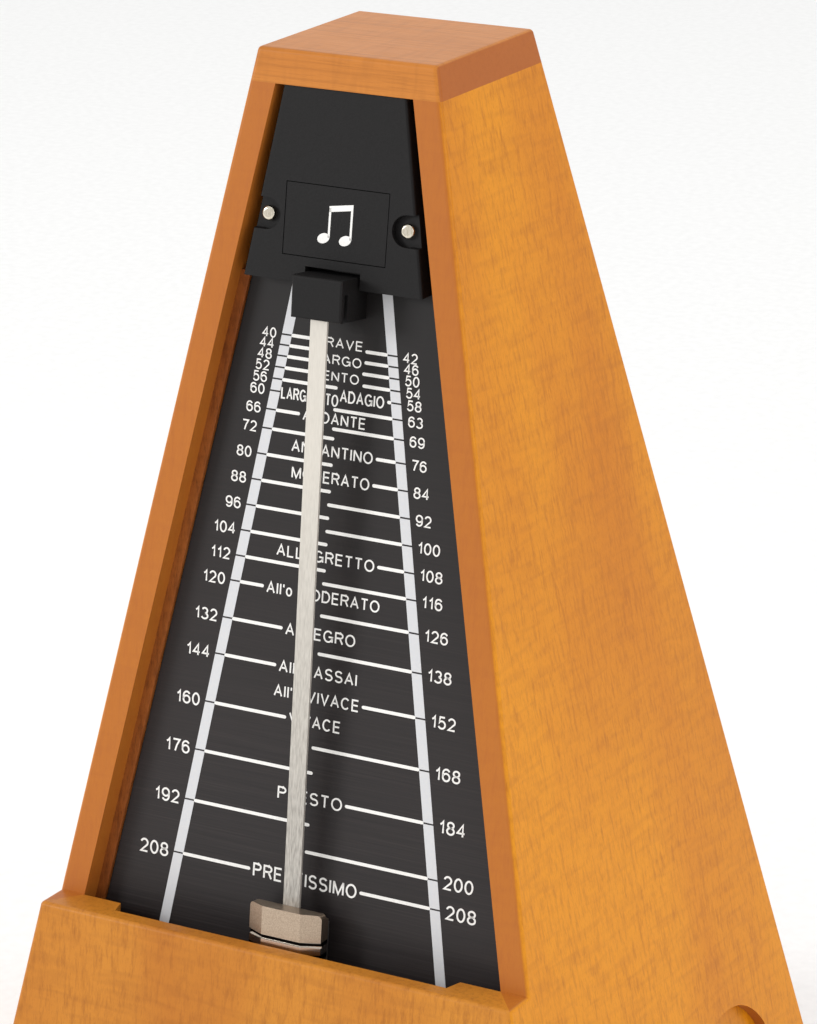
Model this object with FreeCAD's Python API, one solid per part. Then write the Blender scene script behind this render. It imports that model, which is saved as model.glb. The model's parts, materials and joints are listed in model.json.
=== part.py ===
"""Wooden pyramid metronome with a spring-driven movement, in millimetres.

The origin is the middle of the footprint on the table. +X is to the right of
the dial, +Y goes to the back and +Z up. The tower tapers, so every wall is a
straight function of the height z.
"""
import FreeCAD, Part
import math
import os
from FreeCAD import Vector

# ---- case -------------------------------------------------------------------
TOTAL_HEIGHT = 223.0
TOP_WIDTH = 36.2
TOP_DEPTH = 34.0
SIDE_TAPER = 0.20          # each side moves out this much per mm of drop
FACE_TAPER = 0.17          # and so do the front and the back
CAP_THICKNESS = 6.0
SIDE_WALL = 5.4
BACK_WALL = 5.0
PANEL_THICKNESS = 6.4      # lower front panel, which stands proud of the tower
LEDGE_HEIGHT = 67.5        # top of the lower front panel
LIP_THICKNESS = 3.2        # what the rebate leaves of that panel
REBATE_HALF_WIDTH = 34.8
REBATE_DEPTH = 30.0
REBATE_SLANT = 1.2
BOARD_THICKNESS = 5.0
CORNER_RADIUS = 0.9

# ---- feet -------------------------------------------------------------------
FOOT_HEIGHT = 3.0
FOOT_RADIUS = 6.0
FOOT_SINK_RADIUS = 3.2
FOOT_SINK_DEPTH = 1.8
FOOT_HOLE_RADIUS = 1.6
FOOT_INSET = 12.0
FOOT_SCREW_RADIUS = 1.4
FOOT_SCREW_LENGTH = 5.6
FOOT_SCREW_HEAD_RADIUS = 2.8
FOOT_SCREW_HEAD_HEIGHT = 1.2

# ---- dial and cover ---------------------------------------------------------
DIAL_TAPER = 0.164
DIAL_SET_BACK = 3.95       # behind the front plane, measured at the very top
DIAL_THICKNESS = 1.0
DIAL_BOTTOM = 58.5
BATTEN_WIDTH = 2.0
BATTEN_DEPTH = 4.0
BATTEN_PROUD = 0.6
PANEL_GAP = 0.15           # loose fit of dial, cover and name plate
COVER_BOTTOM = 183.5
COVER_HALF_WIDTH = 18.2    # at its lower edge
COVER_SET_BACK = 0.35
COVER_SHELL = 1.3
NOTCH_HALF_WIDTH = 5.6
NOTCH_HEIGHT = 2.9
PLATE_WIDTH = 21.0
PLATE_HEIGHT = 12.7
PLATE_CENTRE = 194.3
PLATE_THICKNESS = 0.7
COVER_SCREW_X = 14.1
COVER_SCREW_HEIGHT = 194.6
COVER_SCREW_POCKET = 2.8
COVER_SCREW_SINK = 1.2
COVER_SCREW_HEAD = 1.35
COVER_SCREW_SHANK = 0.7

# ---- pendulum ---------------------------------------------------------------
PIVOT_HEIGHT = 48.5
ROD_LEAN = math.atan(0.133)   # the rod leans back with the dial
ROD_OFFSET = 2.15          # rod's back face in front of the tower's front plane
ROD_OFFSET_HEIGHT = 48.5   # measured at this height, sunk below the rim
ROD_WIDTH = 3.4
ROD_THICKNESS = 0.5
ROD_LENGTH = 133.0         # from the pivot to the tip
ROD_CLAMP = 4.0            # how far the rod reaches into its holder
HOLDER_WIDTH = 10.0
HOLDER_ABOVE = 5.0
HOLDER_BELOW = 7.0
HOLDER_FRONT = 1.0
HOLDER_BACK = 2.2
WEIGHT_RADIUS = 13.0
WEIGHT_DROP = 25.0         # weight's centre below the pivot
WEIGHT_FRONT = 1.4
WEIGHT_BACK = 8.6
STEM_WIDTH = 5.0
CATCH_HALF_WIDTH = 5.1
CATCH_TOP = 186.0
CATCH_BOTTOM = 178.6
CATCH_LIP = 1.0
CATCH_GAP = 0.3
CATCH_ROOF = 2.6

# ---- sliding bob ------------------------------------------------------------
BOB_WIDTH = 15.0
BOB_HEIGHT = 15.5
BOB_TOP_ABOVE_PIVOT = 25.4
BOB_FRONT = 3.2
BOB_EDGE = 1.6
BOB_FACET = 4.0
BOB_CHEEK = 0.1           # body behind the rod, each side
BOB_FIT = 0.08
BOB_BACK_PLATE = 0.3
BOB_SPRING_SHEET = 0.2
BOB_SPRING_WIDTH = 2.4
BOB_CORNER = 0.9
RIB_TOP = 5.2              # first groove below the bob's top
RIB_PITCH = 2.4
RIB_COUNT = 4
RIB_WIDTH = 0.8
RIB_DEPTH = 0.45

# ---- movement frame ---------------------------------------------------------
PLATE_X = 17.0             # inner face of each movement plate
PLATE_SHEET = 1.5
PLATE_FRONT = -24.0
PLATE_BACK = 41.0
PLATE_TOP = 60.0
FLANGE_WIDTH = 9.0
PILLAR_RADIUS = 2.2
BRIDGE_SHEET = 2.0
PILLARS = [(-18.0, 54.0), (35.0, 54.0), (-18.0, 14.0)]   # Y and Z of each clear of the gears
WHEEL_PILLAR_ANGLE = -0.752   # the fourth pillar's direction from the winding arbor
WHEEL_PILLAR_GAP = 0.36    # and its gap to the great wheel
STUD_RADIUS = 1.2
STUD_REACH = 2.0           # past the plate's outer face
NUT_RADIUS = 2.6
NUT_THICKNESS = 1.5
FLANGE_SCREW_RADIUS = 1.3
FLANGE_SCREW_HEAD_RADIUS = 2.2
FLANGE_SCREW_HEAD_HEIGHT = 1.3
FLANGE_SCREW_EDGE = 3.2    # from the flange's edge
FLANGE_SCREW_END = 6.0     # from the plate's ends
SLOT_HALF_WIDTH = 0.3      # of every slotted screw
BRIDGE_BELOW = 12.0
BRIDGE_ABOVE = 5.0
COCK_GAP = 1.6             # rear cock behind the crown wheel
COCK_END = 2.6
COCK_HALF_HEIGHT = 3.5
ESCAPE_COCK_X = 9.0
ESCAPE_COCK_SHEET = 1.2
ESCAPE_COCK_FRONT = 10.0
ESCAPE_COCK_BACK = 3.4
ESCAPE_COCK_HALF_HEIGHT = 9.0
ESCAPE_POST_RADIUS = 1.6
ESCAPE_POST_INSET = 2.5
PIVOT_FIT = 0.05           # radial running clearance of every arbor

# ---- gear train -------------------------------------------------------------
KEY_Y = 25.4
KEY_HEIGHT = 24.6
MODULE = 0.5
GREAT_TEETH = 56
SECOND_PINION_TEETH = 10
SECOND_TEETH = 50
ESCAPE_PINION_TEETH = 8
MESH_SLACK = 0.08
TOOTH_SHARE = 0.36         # tooth width as a share of the pitch, at the pitch circle
ADDENDUM = 0.85            # in modules
DEDENDUM = 1.25
GEAR_SHEET = 1.4
PINION_LENGTH = 4.5
GREAT_X = 5.0
SECOND_X = 12.2
ESCAPE_PINION_X = 10.9
ARBOR_RADIUS = 1.0
BARREL_RADIUS = 12.6
BARREL_LENGTH = 15.0
BARREL_SHELL = 0.8
BARREL_ARBOR_RADIUS = 2.2
SPRING_SHEET = 0.35
SPRING_TURNS = 9
ESCAPE_Y = 0.8
ESCAPE_RADIUS = 8.5
ESCAPE_TEETH = 15
ESCAPE_RIM = 1.0
ESCAPE_TOOTH = 2.2
ESCAPE_FACE_X = 3.0        # tips of the crown teeth, to the right of the verge
PALLET_REACH = 2.1
VERGE_RADIUS = 1.1

# ---- winding ----------------------------------------------------------------
RATCHET_TEETH = 24
RATCHET_RADIUS = 8.0
RATCHET_TOOTH = 1.0
RATCHET_SHEET = 1.6
RATCHET_GAP = 0.4
RATCHET_RIM_GAP = 0.3
CLICK_LENGTH = 9.2
CLICK_LEAD = 0.05          # radians past the steep face of the tooth
CLICK_GAP = 0.3
CLICK_EYE_RADIUS = 2.4
CLICK_PIN_RADIUS = 1.2
RECESS_RADIUS = 15.0
RECESS_DEPTH = 2.2
KEY_HOLE_RADIUS = 4.6
BUSH_WALL = 1.4
KEY_PROUD = 6.62           # the key's end, out from the side of the tower
KEY_BOSS_RADIUS = 2.9
KEY_WING_SPAN = 20.0
KEY_WING_HEIGHT = 12.0
KEY_WING_SHEET = 2.4

X, Y, Z = Vector(1, 0, 0), Vector(0, 1, 0), Vector(0, 0, 1)
TOWER_Y = PANEL_THICKNESS / 2
CAP_BOTTOM = TOTAL_HEIGHT - CAP_THICKNESS
BOARD_TOP = FOOT_HEIGHT + BOARD_THICKNESS


# ---- straight walls as functions of the height --------------------------------
def side_x(z):
    return TOP_WIDTH / 2 + SIDE_TAPER * (TOTAL_HEIGHT - z)


def inner_x(z):
    return side_x(z) - SIDE_WALL


def front_y(z):
    return TOWER_Y - TOP_DEPTH / 2 - FACE_TAPER * (TOTAL_HEIGHT - z)


def back_y(z):
    return TOWER_Y + TOP_DEPTH / 2 + FACE_TAPER * (TOTAL_HEIGHT - z)


def panel_y(z):
    return front_y(z) - PANEL_THICKNESS


def back_inner_y(z):
    return back_y(z) - BACK_WALL


def dial_y(z):
    return TOWER_Y - TOP_DEPTH / 2 + DIAL_SET_BACK - DIAL_TAPER * (TOTAL_HEIGHT - z)


def cover_y(z):
    return front_y(z) + COVER_SET_BACK


def shifted(function, distance):
    return lambda z: function(z) + distance


def minus(function):
    return lambda z: -function(z)


# ---- shapes -------------------------------------------------------------------
def polygon(points):
    return Part.Face(Part.makePolygon(points + [points[0]]))


def prism(low, high):
    """Solid between two level polygons that have the same number of corners."""
    turn = sum(a.x * b.y - b.x * a.y for a, b in zip(low, low[1:] + low[:1]))
    if turn < 0:
        low, high = low[::-1], high[::-1]
    faces = [polygon(low[::-1]), polygon(high)]
    for i in range(len(low)):
        j = (i + 1) % len(low)
        faces.append(polygon([low[i], low[j], high[j], high[i]]))
    shell = Part.Shell(faces)
    shell.sewShape()
    return Part.Solid(shell)


def walls(z_low, z_high, corners):
    """Tapered solid: each corner is a pair of functions of the height."""
    rings = [[Vector(x(z), y(z), z) for x, y in corners] for z in (z_low, z_high)]
    return prism(rings[0], rings[1])


def block(z_low, z_high, left, right, front, back):
    return walls(z_low, z_high, [(left, front), (right, front), (right, back), (left, back)])


def constant(value):
    return lambda z: value


def box(x0, x1, y0, y1, z0, z1):
    return Part.makeBox(x1 - x0, y1 - y0, z1 - z0, Vector(x0, y0, z0))


def rod_x(radius, x0, x1, y, z):
    return Part.makeCylinder(radius, x1 - x0, Vector(x0, y, z), X)


def rod_z(radius, z0, z1, x, y):
    return Part.makeCylinder(radius, z1 - z0, Vector(x, y, z0), Z)


def tube_x(outer, inner, x0, x1, y, z):
    return rod_x(outer, x0, x1, y, z).cut(rod_x(inner, x0, x1, y, z))


def round_edges(solid, radius, chosen):
    edges = [e for e in solid.Edges if chosen(e.CenterOfMass, e)]
    return solid.makeFillet(radius, edges) if edges else solid


def joined(first, *others):
    return first.fuse(list(others)).removeSplitter()


def group(solids):
    return Part.makeCompound(solids)


def save(name, shape):
    os.makedirs("parts", exist_ok=True)
    if not shape.isValid():
        raise ValueError(name + " is not a valid shape")
    solids = shape.Solids
    shape = solids[0] if len(solids) == 1 else Part.makeCompound(solids)
    shape.exportStep("parts/" + name + ".step")
    print(name, len(solids), round(shape.Volume, 1))


def tilted(shape):
    """Turns a shape made upright in the pendulum's own frame into its place.

    In that frame the pivot is the origin, x is across, y goes back along the
    verge, z goes up the rod and y = 0 is the back face of the rod.
    """
    pivot = Vector(0, verge_y(PIVOT_HEIGHT), PIVOT_HEIGHT)
    placed = shape.copy()
    placed.rotate(Vector(0, 0, 0), X, -math.degrees(ROD_LEAN))
    placed.translate(pivot)
    return placed


def verge_y(z):
    """Back face of the rod at the height of the pivot."""
    return front_y(ROD_OFFSET_HEIGHT) + ROD_OFFSET + (z - ROD_OFFSET_HEIGHT) * math.tan(ROD_LEAN)


def verge_point(y):
    """Point of the verge's axis above the given y; the axis dips to the back."""
    start = verge_y(PIVOT_HEIGHT)
    return Vector(0, y, PIVOT_HEIGHT - (y - start) * math.tan(ROD_LEAN))


# ---- case ---------------------------------------------------------------------
def envelope():
    """Outside of the whole wooden case with its arrises rounded."""
    tower = block(FOOT_HEIGHT, TOTAL_HEIGHT, minus(side_x), side_x, front_y, back_y)
    tower = round_edges(tower, CORNER_RADIUS, lambda c, e: c.z > FOOT_HEIGHT + 1)
    foot = block(FOOT_HEIGHT, LEDGE_HEIGHT, minus(side_x), side_x, panel_y, back_y)
    foot = round_edges(foot, CORNER_RADIUS, lambda c, e: c.z > FOOT_HEIGHT + 1)
    return tower.fuse(foot)


def side_panel(outer, inner):
    upper = walls(LEDGE_HEIGHT, CAP_BOTTOM,
                  [(inner, front_y), (outer, front_y), (outer, back_y), (inner, back_y)])
    lower = walls(FOOT_HEIGHT, LEDGE_HEIGHT,
                  [(inner, front_y), (outer, panel_y), (outer, back_y), (inner, back_y)])
    return upper.fuse(lower).removeSplitter().common(CASE)


def recess_frame():
    """Middle of the key recess on the right side and that side's normal."""
    normal = Vector(1, 0, SIDE_TAPER)
    normal.normalize()
    return Vector(side_x(KEY_HEIGHT), KEY_Y, KEY_HEIGHT), normal


def case_pieces():
    right = side_panel(side_x, inner_x)
    middle, normal = recess_frame()
    floor = middle - normal * RECESS_DEPTH
    right = right.cut(Part.makeCylinder(RECESS_RADIUS, RECESS_DEPTH * 3, floor, normal))
    right = right.cut(rod_x(KEY_HOLE_RADIUS, side_x(KEY_HEIGHT) - 3 * SIDE_WALL,
                            side_x(KEY_HEIGHT) + SIDE_WALL, KEY_Y, KEY_HEIGHT))
    save("left_side_panel", side_panel(minus(side_x), minus(inner_x)))
    save("right_side_panel", right)
    bush = tube_x(KEY_HOLE_RADIUS, KEY_HOLE_RADIUS - BUSH_WALL, side_x(KEY_HEIGHT) - 2 * SIDE_WALL,
                  side_x(KEY_HEIGHT) + SIDE_WALL, KEY_Y, KEY_HEIGHT)
    slab = block(BOARD_TOP, LEDGE_HEIGHT, inner_x, shifted(side_x, -RECESS_DEPTH * 1.02 - 0.1),
                 constant(0), back_y)
    save("key_bush", bush.common(slab))
    save("back_panel", block(FOOT_HEIGHT, CAP_BOTTOM, minus(inner_x), inner_x, back_inner_y, back_y))
    cap = block(CAP_BOTTOM, TOTAL_HEIGHT, minus(side_x), side_x, front_y, back_y)
    save("top_cap", cap.common(CASE))
    save("lower_front_panel", lower_front_panel())
    save("base_board", base_board())


def lower_front_panel():
    panel = walls(FOOT_HEIGHT, LEDGE_HEIGHT, [(minus(side_x), panel_y), (side_x, panel_y),
                                              (inner_x, front_y), (minus(inner_x), front_y)])
    rebate_z = LEDGE_HEIGHT - REBATE_DEPTH
    lip = shifted(panel_y, LIP_THICKNESS)

    near, far = constant(REBATE_HALF_WIDTH), constant(REBATE_HALF_WIDTH + REBATE_SLANT)
    behind = shifted(front_y, 1)
    rebate = walls(rebate_z, LEDGE_HEIGHT + 1,
                   [(minus(near), lip), (near, lip), (far, behind), (minus(far), behind)])
    return panel.cut(rebate).common(CASE)


def foot_places():
    x = inner_x(FOOT_HEIGHT) - FOOT_INSET
    return [(sx * x, y) for sx in (-1, 1)
            for y in (front_y(FOOT_HEIGHT) + FOOT_INSET, back_inner_y(FOOT_HEIGHT) - FOOT_INSET)]


def base_board():
    board = block(FOOT_HEIGHT, BOARD_TOP, minus(inner_x), inner_x, front_y, back_inner_y)
    for x, y in foot_places():
        board = board.cut(rod_z(FOOT_SCREW_RADIUS, FOOT_HEIGHT, BOARD_TOP, x, y))
    room = WHEEL_PILLAR_GAP
    wheel_room = rod_x(great_tip_radius() + room, GREAT_X - room, GREAT_X + GEAR_SHEET + room,
                       KEY_Y, KEY_HEIGHT)
    return board.cut(wheel_room)


def feet():
    rings, screws = [], []
    for x, y in foot_places():
        foot = rod_z(FOOT_RADIUS, 0, FOOT_HEIGHT, x, y)
        foot = round_edges(foot, 0.6, lambda c, e: c.z < 0.1 and e.Length > 10)
        foot = foot.cut(rod_z(FOOT_SINK_RADIUS, -1, FOOT_SINK_DEPTH, x, y))
        rings.append(foot.cut(rod_z(FOOT_HOLE_RADIUS, 0, FOOT_HEIGHT, x, y)))
        head_z = FOOT_SINK_DEPTH - FOOT_SCREW_HEAD_HEIGHT
        head = rod_z(FOOT_SCREW_HEAD_RADIUS, head_z, FOOT_SINK_DEPTH, x, y)
        head = head.cut(box(x - 2, x + 2, y - SLOT_HALF_WIDTH, y + SLOT_HALF_WIDTH,
                            head_z, head_z + FOOT_SCREW_HEAD_HEIGHT / 2))
        shank = rod_z(FOOT_SCREW_RADIUS, FOOT_SINK_DEPTH, FOOT_SINK_DEPTH + FOOT_SCREW_LENGTH, x, y)
        screws.append(joined(head, shank))
    save("rubber_feet", group(rings))
    save("base_screws", group(screws))


# ---- dial, cover and catch ------------------------------------------------------
def dial_pieces():
    edge = shifted(inner_x, -BATTEN_WIDTH)
    dial = block(DIAL_BOTTOM, CAP_BOTTOM - PANEL_GAP, minus(shifted(edge, -PANEL_GAP)),
                 shifted(edge, -PANEL_GAP), dial_y, shifted(dial_y, DIAL_THICKNESS))
    for sign in (-1, 1):
        shank = front_rod(COVER_SCREW_SHANK + 0.05, sign * COVER_SCREW_X, COVER_SCREW_HEIGHT, 0, 8)
        dial = dial.cut(shank)
    save("dial_plate", dial)
    ends = (DIAL_BOTTOM, COVER_BOTTOM - PANEL_GAP)
    faces = (shifted(dial_y, -BATTEN_PROUD), shifted(dial_y, BATTEN_DEPTH))
    save("left_dial_batten", block(*ends, minus(inner_x), minus(edge), *faces))
    save("right_dial_batten", block(*ends, edge, inner_x, *faces))


def front_normal():
    normal = Vector(0, -1, FACE_TAPER)
    normal.normalize()
    return normal


def front_rod(radius, x, z, ahead, behind):
    """Cylinder square to the cover's face, from ahead of it to behind it."""
    start = Vector(x, cover_y(z), z) + front_normal() * ahead
    return Part.makeCylinder(radius, ahead + behind, start, front_normal() * -1)


def cover_width(z):
    return COVER_HALF_WIDTH - (z - COVER_BOTTOM) * SIDE_TAPER * 0.87


def name_recess(half_width, half_height, depth):
    low, high = PLATE_CENTRE - half_height, PLATE_CENTRE + half_height
    return block(low, high, constant(-half_width), constant(half_width),
                 shifted(cover_y, depth[0]), shifted(cover_y, depth[1]))


def cover_pieces():
    top = CAP_BOTTOM - PANEL_GAP
    rest = shifted(dial_y, -0.02)
    cover = block(COVER_BOTTOM, top, minus(cover_width), cover_width, cover_y, rest)
    cover = round_edges(cover, 0.5, lambda c, e: abs(c.y - cover_y(c.z)) < 0.05 and abs(c.x) > 5)
    inside = shifted(cover_width, -COVER_SHELL)
    hollow = block(COVER_BOTTOM + COVER_SHELL, top - COVER_SHELL, minus(inside), inside,
                   shifted(cover_y, COVER_SHELL), shifted(dial_y, 1))
    bosses = []
    for sign in (-1, 1):
        x = sign * COVER_SCREW_X
        bosses.append(front_rod(COVER_SCREW_POCKET + 0.9, x, COVER_SCREW_HEIGHT, -0.2, 9))
    cover = cover.cut(hollow.cut(bosses))
    cover = cover.cut(block(COVER_BOTTOM - 1, COVER_BOTTOM + NOTCH_HEIGHT,
                            constant(-NOTCH_HALF_WIDTH), constant(NOTCH_HALF_WIDTH),
                            shifted(cover_y, -2), shifted(dial_y, 1)))
    cover = cover.cut(name_recess(PLATE_WIDTH / 2, PLATE_HEIGHT / 2, (-1, PLATE_THICKNESS)))
    screws = []
    for sign in (-1, 1):
        x = sign * COVER_SCREW_X
        pocket = front_rod(COVER_SCREW_POCKET, x, COVER_SCREW_HEIGHT, 1, COVER_SCREW_SINK)
        side = box(min(x, 2 * x), max(x, 2 * x), -40, 0,
                   COVER_SCREW_HEIGHT - COVER_SCREW_POCKET, COVER_SCREW_HEIGHT + COVER_SCREW_POCKET)
        slot = side.common(block(COVER_BOTTOM, top, constant(-60), constant(60),
                                 shifted(cover_y, -1), shifted(cover_y, COVER_SCREW_SINK)))
        cover = cover.cut([pocket, slot])
        cover = cover.cut(front_rod(COVER_SCREW_SHANK + 0.05, x, COVER_SCREW_HEIGHT, 0, 9))
        screws.append(cover_screw(x))
    save("top_cover", cover)
    save("name_plate", name_recess(PLATE_WIDTH / 2 - PANEL_GAP, PLATE_HEIGHT / 2 - PANEL_GAP,
                                   (0.02, PLATE_THICKNESS)))
    save("cover_screws", group(screws))


def cover_screw(x):
    head = front_rod(COVER_SCREW_HEAD, x, COVER_SCREW_HEIGHT, -COVER_SCREW_SINK + 1.0, COVER_SCREW_SINK)
    head = round_edges(head, 0.6, lambda c, e: (c - Vector(x, cover_y(COVER_SCREW_HEIGHT),
                       COVER_SCREW_HEIGHT)).Length < COVER_SCREW_SINK - 0.6 and e.Length > 6)
    shank = front_rod(COVER_SCREW_SHANK, x, COVER_SCREW_HEIGHT, -COVER_SCREW_SINK, 6.5)
    return joined(head, shank)


def catch():
    """Hook that parks the rod's tip; open at both sides and below."""
    low = (CATCH_BOTTOM - PIVOT_HEIGHT) / math.cos(ROD_LEAN)
    high = (CATCH_TOP - PIVOT_HEIGHT) / math.cos(ROD_LEAN)
    front = -ROD_THICKNESS - CATCH_GAP - CATCH_LIP
    body = box(-CATCH_HALF_WIDTH, CATCH_HALF_WIDTH, front, 30, low, high)
    body = round_edges(body, 0.4, lambda c, e: abs(c.y - front) < 0.1)
    slot_top = max(ROD_LENGTH + CATCH_GAP, high - CATCH_ROOF)
    slot = box(-9, 9, -ROD_THICKNESS - CATCH_GAP, CATCH_GAP, low - 1, slot_top)
    stop = block(CATCH_BOTTOM - 20, CATCH_TOP + 20, constant(-9), constant(9),
                 shifted(dial_y, -60), dial_y)
    save("rod_catch", tilted(body.cut(slot)).common(stop))


# ---- pendulum -------------------------------------------------------------------
def pendulum_pieces():
    half = ROD_WIDTH / 2
    rod = box(-half, half, -ROD_THICKNESS, 0, HOLDER_ABOVE - ROD_CLAMP, ROD_LENGTH)
    save("pendulum_rod", tilted(rod))
    holder = box(-HOLDER_WIDTH / 2, HOLDER_WIDTH / 2, -ROD_THICKNESS - HOLDER_FRONT, HOLDER_BACK,
                 -HOLDER_BELOW, HOLDER_ABOVE)
    holder = round_edges(holder, 1.5, lambda c, e: abs(abs(c.x) - HOLDER_WIDTH / 2) < 0.1
                         and abs(e.tangentAt(e.FirstParameter).y) > 0.9)
    stem_room = box(-STEM_WIDTH / 2, STEM_WIDTH / 2, -ROD_THICKNESS, 0.7, -HOLDER_BELOW, -VERGE_RADIUS - 1)
    verge_room = Part.makeCylinder(VERGE_RADIUS, 20, Vector(0, -10, 0), Y)
    save("rod_holder", tilted(holder.cut([rod, stem_room, verge_room])))
    stem = box(-STEM_WIDTH / 2, STEM_WIDTH / 2, -ROD_THICKNESS, 0.7,
               -WEIGHT_DROP - WEIGHT_RADIUS / 2, -VERGE_RADIUS - 1)
    save("weight_stem", tilted(stem))
    weight = Part.makeCylinder(WEIGHT_RADIUS, WEIGHT_FRONT + WEIGHT_BACK,
                               Vector(0, -ROD_THICKNESS - WEIGHT_FRONT, -WEIGHT_DROP), Y)
    weight = round_edges(weight, 0.6, lambda c, e: e.Length > 50)
    save("counterweight", tilted(weight.cut(stem)))


def bob_outline(front, edge, facet, half):
    points = [(-half, 0), (-half, -edge), (-facet, -front), (facet, -front), (half, -edge), (half, 0)]
    return [Vector(x, y - ROD_THICKNESS - BOB_FIT, 0) for x, y in points]


def bob_pieces():
    half = BOB_WIDTH / 2
    top = BOB_TOP_ABOVE_PIVOT
    low = top - BOB_HEIGHT
    face = polygon(bob_outline(BOB_FRONT, BOB_EDGE, BOB_FACET, half))
    body = face.extrude(Z * BOB_HEIGHT)
    body.translate(Z * low)
    body = round_edges(body, BOB_CORNER, lambda c, e: abs(abs(c.x) - half) < 0.1 and abs(c.z - top) < 0.1)
    slab = box(-half, half, -ROD_THICKNESS - BOB_FIT, BOB_CHEEK, low, top - BOB_CORNER)
    channel = box(-ROD_WIDTH / 2 - BOB_FIT, ROD_WIDTH / 2 + BOB_FIT, -ROD_THICKNESS - BOB_FIT,
                  BOB_CHEEK, low, top)
    body = joined(body, slab.cut(channel))
    for i in range(RIB_COUNT):
        z = top - RIB_TOP - i * RIB_PITCH
        inner = polygon(bob_outline(BOB_FRONT - RIB_DEPTH, BOB_EDGE - RIB_DEPTH, BOB_FACET, half))
        inner = inner.extrude(Z * RIB_WIDTH)
        inner.translate(Z * (z - RIB_WIDTH))
        ring = box(-half, half, -9, -ROD_THICKNESS - BOB_FIT, z - RIB_WIDTH, z).cut(inner)
        body = body.cut(ring)
    spring_y = -ROD_THICKNESS - 2 * BOB_FIT
    pocket = box(-BOB_SPRING_WIDTH / 2 - BOB_FIT, BOB_SPRING_WIDTH / 2 + BOB_FIT,
                 spring_y - BOB_SPRING_SHEET - BOB_FIT, 0, low + 2, top - 3)
    save("bob_body", tilted(body.cut(pocket)))
    plate = box(-half, half, BOB_CHEEK, BOB_CHEEK + BOB_BACK_PLATE, low + 1, top - 1.5)
    save("bob_back_plate", tilted(plate))
    leaf = box(-BOB_SPRING_WIDTH / 2, BOB_SPRING_WIDTH / 2, spring_y - BOB_SPRING_SHEET, spring_y,
               low + 2.2, top - 3.2)
    save("bob_spring", tilted(leaf))


# ---- movement frame ---------------------------------------------------------------
def movement_centres():
    """Arbor places in the YZ plane: key, second and escape."""
    key = (KEY_Y, KEY_HEIGHT)
    point = verge_point(ESCAPE_Y)
    escape = (point.y, point.z)
    first = MODULE * (GREAT_TEETH + SECOND_PINION_TEETH) / 2 + MESH_SLACK
    second = MODULE * (SECOND_TEETH + ESCAPE_PINION_TEETH) / 2 + MESH_SLACK
    return key, crossing(key, first, escape, second), escape


def crossing(a, ra, b, rb):
    """Upper crossing of a circle about a and a circle about b."""
    dy, dz = b[0] - a[0], b[1] - a[1]
    span = math.hypot(dy, dz)
    along = (ra * ra - rb * rb + span * span) / (2 * span)
    across = math.sqrt(ra * ra - along * along)
    base = (a[0] + along * dy / span, a[1] + along * dz / span)
    ends = [(base[0] - s * across * dz / span, base[1] + s * across * dy / span) for s in (-1, 1)]
    return max(ends, key=lambda p: p[1])


def plate(sign):
    x0 = PLATE_X if sign > 0 else -PLATE_X - PLATE_SHEET
    body = box(x0, x0 + PLATE_SHEET, PLATE_FRONT, PLATE_BACK, BOARD_TOP, PLATE_TOP)
    body = round_edges(body, 5, lambda c, e: abs(c.z - PLATE_TOP) < 1 and e.Length < 2)
    flange_x = PLATE_X if sign > 0 else -PLATE_X - FLANGE_WIDTH
    flange = box(flange_x, flange_x + FLANGE_WIDTH, PLATE_FRONT, PLATE_BACK, BOARD_TOP,
                 BOARD_TOP + PLATE_SHEET)
    body = joined(body, flange)
    for x, y in flange_screws():
        if x * sign > 0:
            body = body.cut(rod_z(FLANGE_SCREW_RADIUS, BOARD_TOP - 1, BOARD_TOP + 3, x, y))
    for y, z in pillar_places():
        body = body.cut(rod_x(STUD_RADIUS, x0 - 1, x0 + PLATE_SHEET + 1, y, z))
    return body


def great_tip_radius():
    return MODULE * (GREAT_TEETH / 2 + ADDENDUM)


def pillar_places():
    reach = great_tip_radius() + PILLAR_RADIUS + WHEEL_PILLAR_GAP
    return PILLARS + [polar(reach, WHEEL_PILLAR_ANGLE)]


def flange_screws():
    x = PLATE_X + FLANGE_WIDTH - FLANGE_SCREW_EDGE
    ends = (PLATE_FRONT + FLANGE_SCREW_END, PLATE_BACK - FLANGE_SCREW_END)
    return [(sx * x, y) for sx in (-1, 1) for y in ends]


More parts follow.
